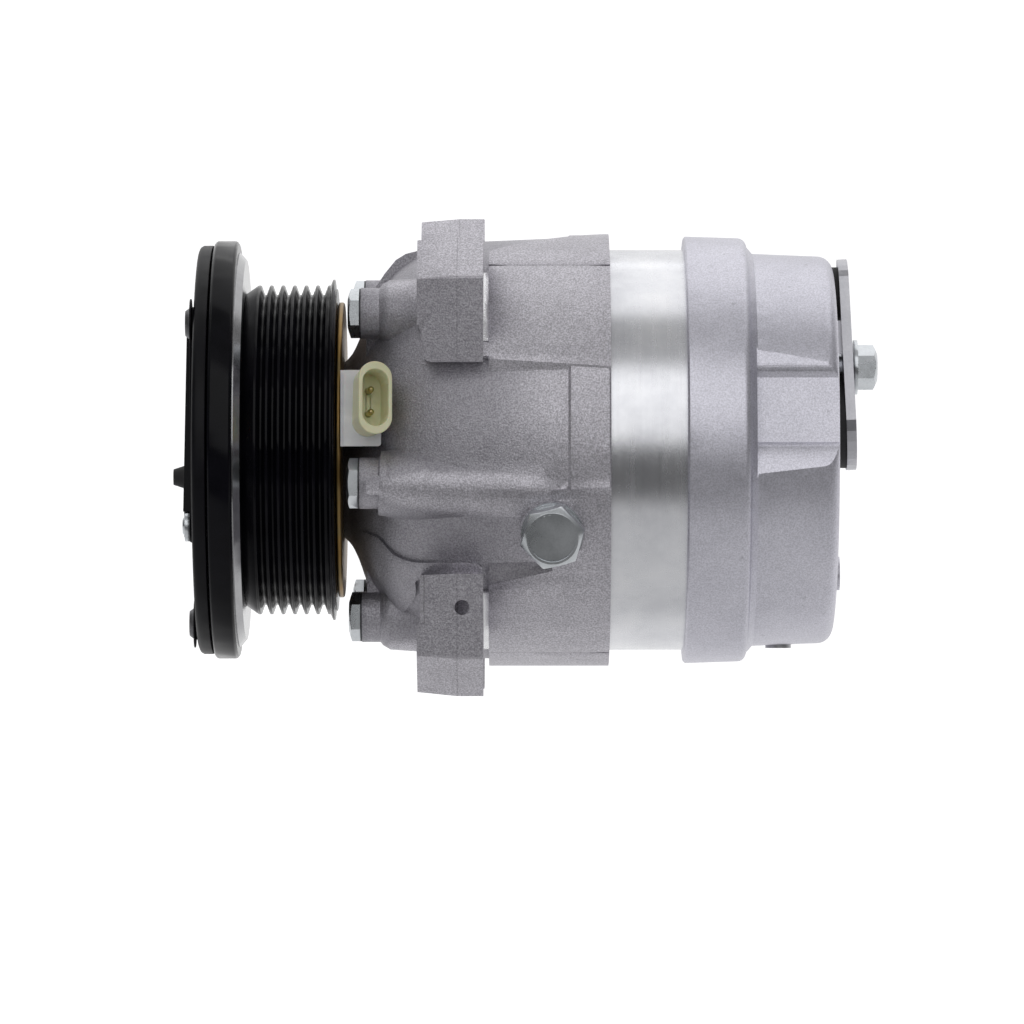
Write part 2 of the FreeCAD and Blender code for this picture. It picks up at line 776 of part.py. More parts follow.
def rear_head():
    front = block_band_rear_x - past
    cutters = [side_recess(), rod(front, chamber_front_x, rear_pocket_r)]
    cutters.append(rod(chamber_front_x - past, chamber_rear_x, chamber_wall_in_r))
    cutters.append(tube(chamber_front_x - past, chamber_rear_x, chamber_outer_r, chamber_wall_out_r))
    for y, z in through_bolt_places():
        cutters.append(rod(front, bolt_end_x + 0.8, bolt_r, y, z))
    cutters.append(cross_rod(valve_bore_start_y, valve_bore_start_y + 50.0, valve_bore_r, valve_x, valve_z))
    cutters.append(Part.makeCylinder(3.0, 15.0, V(relief_x, 0.0, -60.0), UP))
    cutters.append(Part.makeCylinder(4.5, 4.0, V(relief_x, 0.0, -63.0), UP))
    bolt_boss = rod(94.0, chamber_rear_x + past, 7.0, 0.0, cover_bolt_z)
    rear_boss = rod(rear_end_x - past, rear_boss_end_x, rear_boss_r, 0.0, rear_boss_z)
    cored = joined([without(rear_head_shell(), cutters), bolt_boss, rear_boss])
    return without(cored, rear_head_ports())


def control_valve_body():
    start = valve_bore_start_y + 0.5
    end = start + valve_body_length
    body = cross_rod(start, end, valve_bore_r - 0.1, valve_x, valve_z)
    bore = cross_rod(start - 2.5, start + 13.5, valve_stem_r + 0.1, valve_x, valve_z)
    ring = cross_rod(start + 9.5, start + 11.5, valve_bore_r + 0.5, valve_x, valve_z)
    groove = ring.cut(cross_rod(start + 9.5, start + 11.5, valve_bore_r - 1.4, valve_x, valve_z))
    return without(body, [bore, groove])


def control_valve_plunger():
    start = valve_bore_start_y - 1.0
    stem = cross_rod(start, start + 13.0, valve_stem_r, valve_x, valve_z)
    tip = Part.makeSphere(2.4, V(valve_x, start - 0.4, valve_z))
    return stem.fuse(tip)


def relief_valve_body():
    """Small round valve body in the underside of the rear head."""
    head = Part.makeCylinder(4.0, 1.9, V(relief_x, 0.0, -60.9), UP)
    stem = Part.makeCylinder(2.95, 8.0, V(relief_x, 0.0, -59.5), UP)
    return head.fuse(stem)


def housing_o_rings():
    front_x = sum(front_ring_x) / 2
    rear_x = sum(rear_ring_x) / 2
    front = Part.makeTorus(spigot_r - o_ring_inset, o_ring_r, V(front_x, 0, 0), LONG)
    rear = Part.makeTorus(rear_pocket_r - o_ring_inset, o_ring_r, V(rear_x, 0, 0), LONG)
    return Part.makeCompound([front, rear])


# ---- fasteners ----

def through_bolts():
    bolts = []
    for y, z in through_bolt_places():
        head = hexagon(bolt_head_x, bolt_seat_x - bolt_washer_t, bolt_head_af, y, z, 90.0)
        crown = Part.makeSphere(bolt_crown_r, V(bolt_head_x + bolt_crown_r - 0.5, y, z))
        crown = crown.fuse(rod(bolt_head_x + 1.3, bolt_seat_x, 9.0, y, z))
        shank = rod(bolt_seat_x - past, bolt_end_x, bolt_r, y, z)
        bolts.append(joined([head.common(crown), shank]))
    return Part.makeCompound(bolts)


def bolt_washers():
    front = bolt_seat_x - bolt_washer_t
    rings = []
    for y, z in through_bolt_places():
        rings.append(tube(front, bolt_seat_x, bolt_washer_r, bolt_r + running_gap, y, z))
    return Part.makeCompound(rings)


def drain_plug():
    """Hex-headed plug with a round collar and a dished top."""
    collar_front = plug_seat + plug_washer_t
    head = hexagon(collar_front + 0.4, plug_head_end, plug_af, 0.0, 0.0, 14.0)
    crown = Part.makeSphere(plug_crown_r, V(plug_head_end - plug_crown_depth, 0, 0))
    head = head.common(crown.fuse(rod(collar_front, plug_head_end - 3.0, plug_crown_r)))
    dish = rod(plug_head_end - plug_dish_depth, plug_head_end + past, plug_dish_r)
    collar = rod(collar_front, collar_front + 1.8, plug_collar_r)
    stem = rod(plug_seat - plug_stem_length, collar_front + 0.4, plug_thread_r)
    return to_plug(joined([head.cut(dish), collar, stem]))


def drain_plug_washer():
    return to_plug(tube(plug_seat, plug_seat + plug_washer_t, plug_washer_r, plug_thread_r + running_gap))


# ---- clutch ----

def hub_corner(k):
    """Centre of the k-th rivet on the hub plate."""
    return around(hub_corner_circle_r, hub_corner_angle + 120.0 * k)


def strap_end(k):
    """Centre of the k-th rivet on the armature."""
    return around(strap_circle_r, strap_angle + 120.0 * k)


def armature_plate():
    """Friction disc with a rounded front edge and raised seats for the straps."""
    profile = [(armature_front_x, armature_bore_r), (armature_front_x, armature_r - 1.4)]
    profile += [(armature_front_x + 0.4, armature_r - 0.5), (armature_front_x + 1.3, armature_r)]
    profile += [(armature_rear_x, armature_r), (armature_rear_x, armature_bore_r)]
    seats = [rod(strap_rear_x, armature_front_x + past, strap_seat_r, *strap_end(k)) for k in range(3)]
    disc = joined([turned(profile)] + seats)
    cutters = []
    for k in range(3):
        y, z = hub_corner(k)
        cutters.append(rod(armature_front_x - past, armature_rear_x + past, armature_hub_hole_r, y, z))
        y, z = strap_end(k)
        cutters.append(rod(strap_rear_x - past, armature_rear_x + past, rivet_r, y, z))
    return without(disc, cutters)


def armature_rivets():
    rivets = []
    for k in range(3):
        y, z = strap_end(k)
        head = Part.makeCone(4.8, 3.8, strap_front_x - armature_rivet_x, V(strap_front_x, y, z), V(-1, 0, 0))
        rivets.append(head.fuse(rod(strap_front_x, armature_rear_x, rivet_r, y, z)))
    return Part.makeCompound(rivets)


def bar_outline(start, end, half_width):
    """Straight bar between two (y, z) points."""
    dy = end[0] - start[0]
    dz = end[1] - start[1]
    length = math.hypot(dy, dz)
    ny = -dz / length * half_width
    nz = dy / length * half_width
    return [(start[0] + ny, start[1] + nz), (end[0] + ny, end[1] + nz),
            (end[0] - ny, end[1] - nz), (start[0] - ny, start[1] - nz)]


def leaf_straps():
    """Spring straps that carry the armature from the hub."""
    straps = []
    for k in range(3):
        hub_end = hub_corner(k)
        rim_end = strap_end(k)
        shapes = [plate(strap_front_x, strap_rear_x, bar_outline(hub_end, rim_end, strap_half_width))]
        shapes.append(rod(strap_front_x, strap_rear_x, strap_half_width, *hub_end))
        shapes.append(rod(strap_front_x, strap_rear_x, strap_eye_r, *rim_end))
        hub_hole = rod(strap_front_x - past, strap_rear_x + past, rivet_r + 0.1, *hub_end)
        rim_hole = rod(strap_front_x - past, strap_rear_x + past, rivet_r, *rim_end)
        straps.append(without(joined(shapes), [hub_hole, rim_hole]))
    return Part.makeCompound(straps)


def clutch_hub():
    """Splined boss with a three-cornered drive plate, thinned under the corner rivets."""
    corners = [hub_corner(k) for k in range(3)]
    shapes = [plate(hub_front_x, hub_rear_x, corners), rod(hub_front_x, hub_boss_rear_x, hub_boss_r)]
    for k in range(3):
        side = bar_outline(corners[k], corners[(k + 1) % 3], hub_half_width)
        shapes.append(plate(hub_front_x, hub_rear_x, side))
        shapes.append(rod(hub_rear_x - hub_web_t, hub_rear_x, hub_disc_r + 0.3, *corners[k]))
    hub = joined(shapes)
    cutters = [rod(hub_front_x - past, nut_seat_x, nut_recess_r), rod(nut_seat_x - past, -83.0, stud_r + 0.1)]
    cutters.append(rod(stud_rear_x, hub_boss_rear_x + past, shaft_hub_r))
    for k in range(3):
        cutters.append(rod(hub_front_x - past, hub_rear_x - hub_web_t, hub_disc_r + 0.3, *corners[k]))
        cutters.append(rod(hub_front_x - past, hub_rear_x + past, rivet_r, *corners[k]))
    y, z = around(button_circle_r, button_angle)
    cutters.append(rod(hub_front_x - past, hub_rear_x + past, button_tip_r, y, z))
    return without(hub, cutters)


def hub_rivets():
    """Rivets with thick round heads in the hub plate's corners, upset behind the straps."""
    disc_rear = hub_rear_x - hub_web_t
    foot_front = armature_front_x - 0.2
    rivets = []
    for k in range(3):
        y, z = hub_corner(k)
        disc = rod(hub_front_x + 0.5, disc_rear, hub_disc_r, y, z)
        crown = Part.makeCone(3.0, 2.4, 0.7, V(hub_front_x + 0.5, y, z), V(-1, 0, 0))
        stem = rod(hub_front_x + 0.5, foot_front + 1.2, rivet_r, y, z)
        foot = rod(foot_front, foot_front + 1.2, 3.6, y, z)
        rivets.append(joined([disc, crown, stem, foot]))
    return Part.makeCompound(rivets)


def hub_button():
    """Rubber button on the hub plate, a little below the shaft."""
    y, z = around(button_circle_r, button_angle)
    head = Part.makeCone(button_base_r, button_tip_r, button_length, V(hub_front_x, y, z), V(-1, 0, 0))
    return head.fuse(rod(hub_front_x, hub_rear_x, button_tip_r, y, z))


def shaft_nut():
    nut = hexagon(nut_front_x, nut_seat_x, 14.0)
    return nut.cut(rod(nut_front_x - past, nut_seat_x + past, stud_r))


def friction_flange():
    """Pulley friction face with curved slots that steer the coil's field."""
    profile = [(flange_front_x, bearing_out_r), (flange_front_x, flange_r - flange_edge)]
    profile += [(flange_front_x + flange_edge, flange_r), (flange_rear_x - flange_edge, flange_r)]
    profile += [(flange_rear_x, flange_r - flange_edge), (flange_rear_x, bearing_out_r)]
    front = flange_front_x - past
    floor = flange_front_x + slot_depth
    cutters = []
    for radius in slot_circles:
        ring = tube(front, floor, radius + slot_half_width, radius - slot_half_width)
        for k in range(4):
            cutters.append(ring.common(sector(front, floor, 90.0 * k + 8.0, 90.0 * k + 82.0)))
    return without(turned(profile), cutters)


def rotor_step_ring():
    """Bright turned step with a wide chamfer behind the friction flange."""
    profile = [(flange_rear_x, bearing_out_r), (flange_rear_x, step_r), (flange_rear_x + 0.3, step_r)]
    profile += [(step_rear_x, step_r - step_chamfer), (step_rear_x, bearing_out_r)]
    return turned(profile)


def belt_ring():
    """Ribbed belt track with its web and bearing tube."""
    profile = [(step_rear_x, bearing_out_r), (step_rear_x, 48.0), (crest_first_x - 1.8, 49.6)]
    bottom = crest_r - groove_depth
    for k in range(crest_count):
        x = crest_first_x + k * crest_pitch
        profile += [(x - crest_flat / 2, crest_r), (x + crest_flat / 2, crest_r)]
        if k < crest_count - 1:
            middle = x + crest_pitch / 2
            profile += [(middle - groove_flat / 2, bottom), (middle + groove_flat / 2, bottom)]
    profile += list(belt_rim_outline)
    profile += [(belt_rear_x, belt_rim_outline[-1][1]), (belt_rear_x, belt_inner_r + 0.8)]
    profile += [(belt_rear_x - 0.8, belt_inner_r), (step_rear_x + rotor_web_t, belt_inner_r)]
    profile += [(step_rear_x + rotor_web_t, rotor_tube_r), (rotor_tube_end_x, rotor_tube_r)]
    profile.append((rotor_tube_end_x, bearing_out_r))
    return turned(profile)


def ball_tracks():
    """Round grooves that the two ball rows run in."""
    return [Part.makeTorus(ball_circle_r, ball_r + running_gap, V(x, 0, 0), LONG) for x in ball_rows]


def bearing_inner_ring():
    return without(tube(bearing_front_x, bearing_rear_x, 20.8, bearing_in_r), ball_tracks())


def bearing_outer_ring():
    return without(tube(bearing_front_x + 0.4, bearing_rear_x - 0.4, bearing_out_r, 24.2), ball_tracks())


def bearing_balls():
    balls = []
    for x in ball_rows:
        for k in range(balls_in_row):
            y, z = around(ball_circle_r, 360.0 * k / balls_in_row)
            balls.append(Part.makeSphere(ball_r, V(x, y, z)))
    return Part.makeCompound(balls)


def coil_housing():
    """Steel channel ring around the winding, with its mounting flange."""
    bore = nose_shoulder_r + 0.02
    edge = 0.4
    profile = [(coil_front_x, coil_in_r), (coil_front_x, coil_in_r + coil_wall_t)]
    profile += [(coil_web_x, coil_in_r + coil_wall_t), (coil_web_x, coil_out_r - coil_wall_t)]
    profile += [(coil_front_x, coil_out_r - coil_wall_t), (coil_front_x, coil_out_r)]
    profile += [(coil_flange_front_x, coil_out_r), (coil_flange_front_x, coil_flange_r - edge)]
    profile += [(coil_flange_front_x + edge, coil_flange_r), (dome_front_x - edge, coil_flange_r)]
    profile += [(dome_front_x, coil_flange_r - edge), (dome_front_x, bore)]
    profile += [(coil_foot_x, bore), (coil_foot_x, coil_in_r)]
    return turned(profile)


def coil_winding():
    return tube(coil_front_x + 0.4, coil_web_x, coil_out_r - coil_wall_t, coil_in_r + coil_wall_t)


def snap_rings():
    """Two open rings that hold the pulley bearing and the shaft seal."""
    inset = 0.1
    groove_r = nose_r - bearing_groove_depth
    bearing_ring = tube(bearing_groove_x[0] + inset, bearing_groove_x[1] - inset, 18.9, groove_r)
    seal_ring = tube(seal_groove_x[0] + inset, seal_groove_x[1] - inset, seal_groove_r - 0.1, 11.6)
    opening = block(-79.0, -73.0, -4.0, 4.0, -25.0, 0.0)
    return Part.makeCompound([bearing_ring.cut(opening), seal_ring.cut(opening)])


def shaft_seal():
    """Lip seal in its carrier, around the shaft behind the clutch."""
    outer = seal_bore_r - 0.02
    lip = shaft_hub_r + 0.08
    profile = [(seal_groove_x[1], outer), (-60.1, outer), (-60.1, 10.4), (-63.0, 10.4), (-66.0, lip)]
    profile += [(-68.5, lip), (-69.0, 10.2), (seal_groove_x[1], 10.2)]
    return turned(profile)


# ---- coil connector ----

def oval_bar(x0, x1, half_height, radius):
    """Oval bar along X used for the connector, tall along Z."""
    middle = half_height - radius
    core = block(x0, x1, -radius, radius, -middle, middle)
    return joined([core, rod(x0, x1, radius, 0.0, middle), rod(x0, x1, radius, 0.0, -middle)])


def to_connector(shape):
    """Lay a piece made along X onto the connector's axis, facing the near side."""
    laid = shape.copy()
    laid.rotate(V(0, 0, 0), UP, connector_swing - 90.0)
    laid.rotate(V(0, 0, 0), LONG, -connector_lift)
    laid.translate(V(connector_x, connector_y, connector_z))
    return laid


def pin_holes():
    """Round holes for the two pins, in the connector's own frame."""
    return [rod(-2.0, 2.0, pin_half_t, 0.0, z) for z in (-pin_spacing / 2, pin_spacing / 2)]


def coil_connector():
    """Oval plug socket with a lip round its mouth and a lock on its side."""
    shell = joined([oval_bar(-1.0, 12.0, 10.2, 4.7), oval_bar(10.4, connector_end, 10.9, 5.1),
                    block(3.0, 9.0, 4.4, 5.8, -3.0, 3.0)])
    hollow = oval_bar(1.6, connector_end + past, 8.6, 3.9)
    return to_connector(without(shell, [hollow] + pin_holes()))


def connector_pins():
    pins = []
    for z in (-pin_spacing / 2, pin_spacing / 2):
        tip = Part.makeSphere(pin_half_t, V(5.6, 0.0, z))
        pins.append(to_connector(rod(-1.0, 5.6, pin_half_t, 0.0, z).fuse(tip)))
    return Part.makeCompound(pins)


def connector_base():
    """Moulded block that carries the connector on the coil flange."""
    stem = block(dome_front_x, -36.4, -52.5, -41.0, 0.6, 23.4)
    body = straight_edges(block(-41.8, -30.6, -55.5, -50.8, 0.6, 23.4), ACROSS, 1.0)
    socket = to_connector(oval_bar(-1.0, 12.0, 10.2, 4.7))
    return without(joined([stem, body]), [socket] + [to_connector(hole) for hole in pin_holes()])


# ---- shaft and bearings ----

def drive_shaft():
    profile = [(shaft_front_x, 0), (shaft_front_x, stud_r - 0.6), (shaft_front_x + 0.6, stud_r)]
    profile += [(stud_rear_x, stud_r), (stud_rear_x, shaft_hub_r), (seal_land_rear_x, shaft_hub_r)]
    profile += [(needle_land_front_x, shaft_front_r), (needle_land_rear_x, shaft_front_r)]
    profile += [(needle_land_rear_x, shaft_r), (shaft_shoulder_x, shaft_r)]
    profile += [(shaft_shoulder_x, shaft_end_r)]
    profile += [(shaft_end_x - 0.6, shaft_end_r), (shaft_end_x, shaft_end_r - 0.6), (shaft_end_x, 0)]
    return turned(profile)


def needle_bearings():
    front = tube(*front_needle_x, needle_bore_r, shaft_front_r + running_gap)
    rear = tube(*rear_needle_x, shaft_bore_r, shaft_end_r + running_gap)
    return Part.makeCompound([front, rear])


def thrust_bearings():
    front = tube(needle_bore_rear_x, lug_flange_x - 0.1, 19.0, shaft_r + 0.6)
    rear = tube(shaft_shoulder_x + 0.1, block_front_x, 15.5, shaft_end_r + 0.4)
    return Part.makeCompound([front, rear])


def drive_lug():
    """Drive flange with the lug block that holds the cross pin."""
    flange = rod(lug_flange_x, lug_front_x, lug_flange_r)
    collar = rod(lug_front_x, lug_rear_x, 12.5)
    lug = block(-20.0, lug_rear_x, -lug_half_y, lug_half_y, 6.0, 27.5)
    neck = block(lug_front_x, -19.9, -lug_half_y, lug_half_y, 6.0, 17.0)
    body = joined([collar, lug, neck]).common(block(-30.0, 10.0, -lug_half_y, lug_half_y, -30.0, 30.0))
    cross_hole = cross_rod(-20.0, 20.0, pin_r, pin_x, pin_z)
    return without(joined([flange, body]), [rod(lug_flange_x - past, 0.0, shaft_r), cross_hole])


def guide_pin():
    return cross_rod(-pin_half_length, pin_half_length, pin_r, pin_x, pin_z)


def hinge_ball():
    return ring_of_ball(tilt_x, hinge_ball_r, shaft_r, hinge_half_length)


# ---- tilting parts ----

def pin_reach():
    """Distance of the cross pin from the tilt centre, and its angle."""
    return math.hypot(tilt_x - pin_x, pin_z), math.degrees(math.atan2(pin_z, tilt_x - pin_x))


def about_tilt(radius, degrees):
    """X and Z of a point on a circle about the tilt centre."""
    turn = math.radians(degrees)
    return tilt_x - radius * math.cos(turn), radius * math.sin(turn)


def ear_outline(inner, outer, start, end, steps=16):
    """Ring sector about the tilt centre, as (x, z) points."""
    angles = [start + (end - start) * k / steps for k in range(steps + 1)]
    return [about_tilt(outer, a) for a in angles] + [about_tilt(inner, a) for a in reversed(angles)]


def slot_cutter(radius, middle, half_span, half_width):
    """Curved slot about the tilt centre, as a solid across both ears."""
    reach = 30.0
    ring = cross_rod(-reach, reach, radius + half_width, tilt_x, 0.0)
    ring = ring.cut(cross_rod(-reach, reach, radius - half_width, tilt_x, 0.0))
    wedge = [(tilt_x, 0.0)]
    wedge += [about_tilt(80.0, middle + half_span * (k - 2) / 2.0) for k in range(5)]
    slot = ring.common(side_plate(-reach, reach, wedge))
    for sign in (-1, 1):
        x, z = about_tilt(radius, middle + sign * half_span)
        slot = slot.fuse(cross_rod(-reach, reach, half_width, x, z))
    return slot


def journal_tube():
    """Tube and flange of the journal, hollowed to run on the hinge ball."""
    front = tilt_x - 14.5
    profile = [(front, 19.0), (front, journal_flange_r), (journal_flange_x, journal_flange_r)]
    profile += [(journal_flange_x, journal_tube_r), (tilt_x + 8.0, journal_tube_r), (tilt_x + 8.0, 14.6)]
    profile += [(tilt_x + 6.0, 12.8), (tilt_x - 6.0, 12.8), (tilt_x - 6.5, 13.8)]
    lug_notch = block(tilt_x - 20.0, journal_flange_x, -journal_ear_y[0], journal_ear_y[0], 19.0, 40.0)
    ball = Part.makeSphere(hinge_ball_r + running_gap, V(tilt_x, 0, 0))
    return without(turned(profile), [ball, lug_notch])


def journal():
    """Tilting drive journal: a tube on the hinge ball, a flange and two slotted ears."""
    radius, middle = pin_reach()
    outline = ear_outline(radius - 7.0, radius + 7.0, middle - 28.0, middle + 32.0)
    limit = block(tilt_x - 60.0, journal_flange_x, -20.0, 20.0, -5.0, 60.0)
    inner, outer = journal_ear_y
    ears = [side_plate(y0, y1, outline).common(limit) for y0, y1 in ((-outer, -inner), (inner, outer))]
    slot = slot_cutter(radius, middle, slot_half_span, pin_r + running_gap)
    ring_groove = tube(tilt_x + 5.0, tilt_x + 6.2, journal_tube_r + past, journal_tube_r - 0.9)
    return without(joined([journal_tube()] + ears), [slot, ring_groove])


def journal_bearing():
    """Thrust race between the journal flange and the wobble plate."""
    return tube(journal_flange_x, plate_front_x - 0.06, journal_flange_r, journal_tube_r)


def journal_ring():
    """Washer and retaining ring that hold the wobble plate on the journal."""
    washer = tube(plate_rear_x + 0.06, tilt_x + 5.0, 25.0, journal_tube_r)
    ring = tube(tilt_x + 5.05, tilt_x + 6.15, 22.6, journal_tube_r - 0.9)
    return Part.makeCompound([washer, ring])


def ball_pocket(y, z):
    """Open pocket for a rod ball, long enough for its shift when the plate tilts."""
    shift = z * 0.066
    size = rod_ball_r + curve_gap
    low = min(z, z + shift)
    mouth_x = plate_rear_x + 2.0
    shapes = [Part.makeCylinder(size, abs(shift), V(tilt_x, y, low), UP)]
    shapes.append(block(tilt_x, mouth_x, y - size, y + size, low, low + abs(shift)))
    for centre in (z, z + shift):
        shapes.append(Part.makeSphere(size, V(tilt_x, y, centre)))
        shapes.append(rod(tilt_x, mouth_x, size, y, centre))
    return shapes[0].multiFuse(shapes[1:])


def wobble_plate():
    """Plate with five rod pockets, shallow reliefs in front and two guide arms on the near side."""
    body = tube(plate_front_x, plate_rear_x, plate_r, journal_tube_r + running_gap)
    arms = [block(tilt_x - 3.9, tilt_x + 3.4, -49.5, -38.0, z0, z0 + 3.0) for z0 in (5.4, -8.4)]
    cutters = [ball_pocket(y, z) for y, z in bore_places()]
    cutters.append(block(tilt_x - 8.0, tilt_x + 4.0, -60.0, -42.9, -5.4, 5.4))
    front = plate_front_x - past
    floor = plate_front_x + 4.0
    ring = tube(front, floor, 38.0, 33.0)
    for start, end in ((36.0, 72.0), (108.0, 144.0), (182.0, 216.0), (252.0, 288.0), (324.0, 342.0)):
        cutters.append(ring.common(sector(front, floor, start, end)))
    return without(joined([body] + arms), cutters)


def guide_rod():
    return rod(guide_front_x, block_front_x + 7.5, guide_r, guide_y, 0.0)


def guide_slider():
    return ring_of_ball(tilt_x, slider_r, guide_r + running_gap, slider_half_length, guide_y, 0.0)


# ---- pistons ----

def piston(y, z):
    """Piston with a thin skirt, a socket for the rod ball and a ring groove."""
    outer = bore_r - running_gap
    mouth_x = piston_rear_x - past
    body = rod(piston_rear_x, piston_crown_x, outer, y, z)
    hollow = tube(mouth_x, piston_rear_x + 12.0, outer - piston_wall_t, piston_boss_r, y, z)
    socket = Part.makeSphere(socket_r, V(socket_x, y, z))
    neck = Part.makeCone(6.2, 4.6, 9.0, V(mouth_x, y, z), LONG)
    groove = tube(*ring_x, outer + past, outer - 1.9, y, z)
    return without(body, [hollow, socket, neck, groove])


def piston_ring(y, z):
    front, rear = ring_x
    return tube(front + 0.05, rear - 0.05, bore_r - 0.02, bore_r - running_gap - 1.85, y, z)


def piston_rod(y, z):
    """Rod with a ball at each end, turned in one piece."""
    small_in = tilt_x + math.sqrt(rod_ball_r ** 2 - rod_neck_r ** 2)
    big_in = socket_x - math.sqrt(socket_r ** 2 - rod_neck_r ** 2)
    tip = V(tilt_x - rod_ball_r, 0, 0)
    neck_front = V(small_in, 0, rod_neck_r)
    neck_rear = V(big_in, 0, rod_neck_r)
    crown = V(socket_x + socket_r, 0, 0)
    edges = [Part.Arc(tip, V(tilt_x, 0, rod_ball_r), neck_front).toShape()]
    edges.append(Part.makeLine(neck_front, neck_rear))
    edges.append(Part.Arc(neck_rear, V(socket_x, 0, socket_r), crown).toShape())
    edges.append(Part.makeLine(crown, tip))
    solid = Part.Face(Part.Wire(edges)).revolve(V(0, 0, 0), LONG, 360)
    solid.translate(V(0, y, z))
    return solid


# ---- rear port cover ----

def leaned(shape):
    """Lean a piece with the port cover, whose top sits closer to the rear head."""
    tipped = shape.copy()
    tipped.rotate(V(cover_front_x, 0, cover_bolt_z), ACROSS, -cover_lean)
    return tipped


def two_lobes(x0, x1, steps=14):
    """Plate of a small upper lobe and a large lower lobe joined by straight sides."""
    outline = []
    for radius, centre, start in ((high_lobe_r, high_lobe_z, 180.0), (low_lobe_r, low_port_z, 0.0)):
        for k in range(steps + 1):
            a = math.radians(start - 180.0 * k / steps)
            outline.append((radius * math.cos(a), centre + radius * math.sin(a)))
    return plate(x0, x1, outline)


def port_cover_plate():
    low_plug = rod(rear_end_x - 3.0, cover_front_x, low_port_r - 1.0, 0.0, low_port_z)
    high_plug = rod(rear_end_x - 3.0, cover_front_x, high_port_r - 0.9, 0.0, high_port_z)
    whole = joined([two_lobes(cover_front_x, cover_rear_x), low_plug, high_plug])
    bolt_hole = rod(cover_front_x - past, cover_rear_x + past, bolt_r + 0.4, 0.0, cover_bolt_z)
    return leaned(whole.cut(bolt_hole))


def port_seals():
    """Rubber rings between the rear face and the leaning cover, one round each port."""
    behind = leaned(block(cover_front_x, cover_front_x + 20.0, -30.0, 30.0, -20.0, 80.0))
    end = cover_front_x + 4.0
    low = tube(rear_end_x, end, low_lobe_r - 0.7, low_port_r, 0.0, low_port_z)
    low = low.cut(rod(rear_end_x - past, end + past, bolt_r + 0.4, 0.0, cover_bolt_z))
    high = tube(rear_end_x, end, high_lobe_r - 1.4, high_port_r, 0.0, high_port_z)
    return Part.makeCompound([low.cut(behind), high.cut(behind)])


def port_cover_bolt():
    seat = cover_bolt_seat_x
    flange = rod(seat, seat + 1.2, cover_bolt_flange_r, 0.0, cover_bolt_z)
    head = hexagon(seat + 1.0, cover_bolt_end_x, cover_bolt_af, 0.0, cover_bolt_z, 90.0)
    head = head.common(Part.makeSphere(13.0, V(cover_bolt_end_x - 12.3, 0.0, cover_bolt_z)))
    return joined([flange, head, rod(96.0, seat + past, bolt_r, 0.0, cover_bolt_z)])


def single_pieces():
    """Every piece that is built once, with its name."""
    makers = (front_head, cylinder_block, rear_head, valve_plate, suction_reed_plate, discharge_reeds,
              head_gasket, housing_o_rings, control_valve_body, control_valve_plunger, relief_valve_body,
              through_bolts, bolt_washers, drain_plug, drain_plug_washer, armature_plate, armature_rivets,
              leaf_straps, clutch_hub, hub_rivets, hub_button, shaft_nut, friction_flange, rotor_step_ring,
              belt_ring, bearing_inner_ring, bearing_outer_ring, bearing_balls, coil_housing, coil_winding,
              snap_rings, shaft_seal, coil_connector, connector_pins, connector_base, drive_shaft,
              needle_bearings, thrust_bearings, drive_lug, guide_pin, hinge_ball, journal, journal_bearing,
              journal_ring, wobble_plate, guide_rod, guide_slider, port_cover_plate, port_seals,
              port_cover_bolt)
    return [(maker.__name__, maker()) for maker in makers]


def build():
    os.makedirs("parts", exist_ok=True)
    for name, shape in single_pieces():
        export(shape, name)
    for number, (y, z) in enumerate(bore_places(), start=1):
        export(Part.makeCompound([piston(y, z), piston_ring(y, z)]), "piston_" + str(number))
        export(piston_rod(y, z), "piston_rod_" + str(number))


build()
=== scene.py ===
import json
import math
import bpy
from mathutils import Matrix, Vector

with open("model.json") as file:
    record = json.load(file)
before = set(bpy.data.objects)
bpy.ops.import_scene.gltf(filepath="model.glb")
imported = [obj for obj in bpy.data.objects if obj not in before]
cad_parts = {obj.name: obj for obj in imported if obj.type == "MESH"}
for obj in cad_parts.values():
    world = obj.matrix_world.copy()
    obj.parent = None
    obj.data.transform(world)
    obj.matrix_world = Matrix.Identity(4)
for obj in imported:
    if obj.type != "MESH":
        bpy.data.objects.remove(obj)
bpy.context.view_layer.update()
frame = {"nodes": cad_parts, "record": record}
nodes = frame["nodes"]

# Places on the front head, in metres from the shaft axis and from the ears' rear faces; some of them bound
# painted shade on the dome hollow, the ears' sides, the pad walls and the parting line
drum_r = 0.0642
drum_fade = 0.0008
dome_shade_x = -0.0400
dome_fade = 0.005
ear_start_r = 0.0662
ear_side_y = 0.0648
ear_fade = 0.0004
seam_x = -0.0078
seam_shade_half_width = 0.00015
seam_shade_edge = 0.00007
strip_low_r = 0.0650
strip_high_r = 0.0658
strip_start_z = 0.0215
strip_full_z = 0.0225
pad_front_x = 0.0016
pad_step_x = 0.0206
wall_top_z = -0.0344
wall_top_slope = 0.03
wall_foot_z = -0.0410
wall_foot_slope = 0.226
wall_reach = 0.02

# Stage and camera
floor_level = -0.25
floor_half_width = 5.0
sweep_start_y = 2.6
sweep_r = 0.8
glow_reach = 0.60
glow_levels = ((0.08, 0.11), (0.14, 0.56), (0.36, 0.58), (0.50, 0.62), (0.62, 0.85), (1.0, 0.95))
room_low_glow = 0.10
room_high_glow = 0.40
room_full_height = 0.8
camera_place = (0.0086, -2.0, -0.0191)
lens_mm = 228.5


# ---------------------------------------------------------------- materials

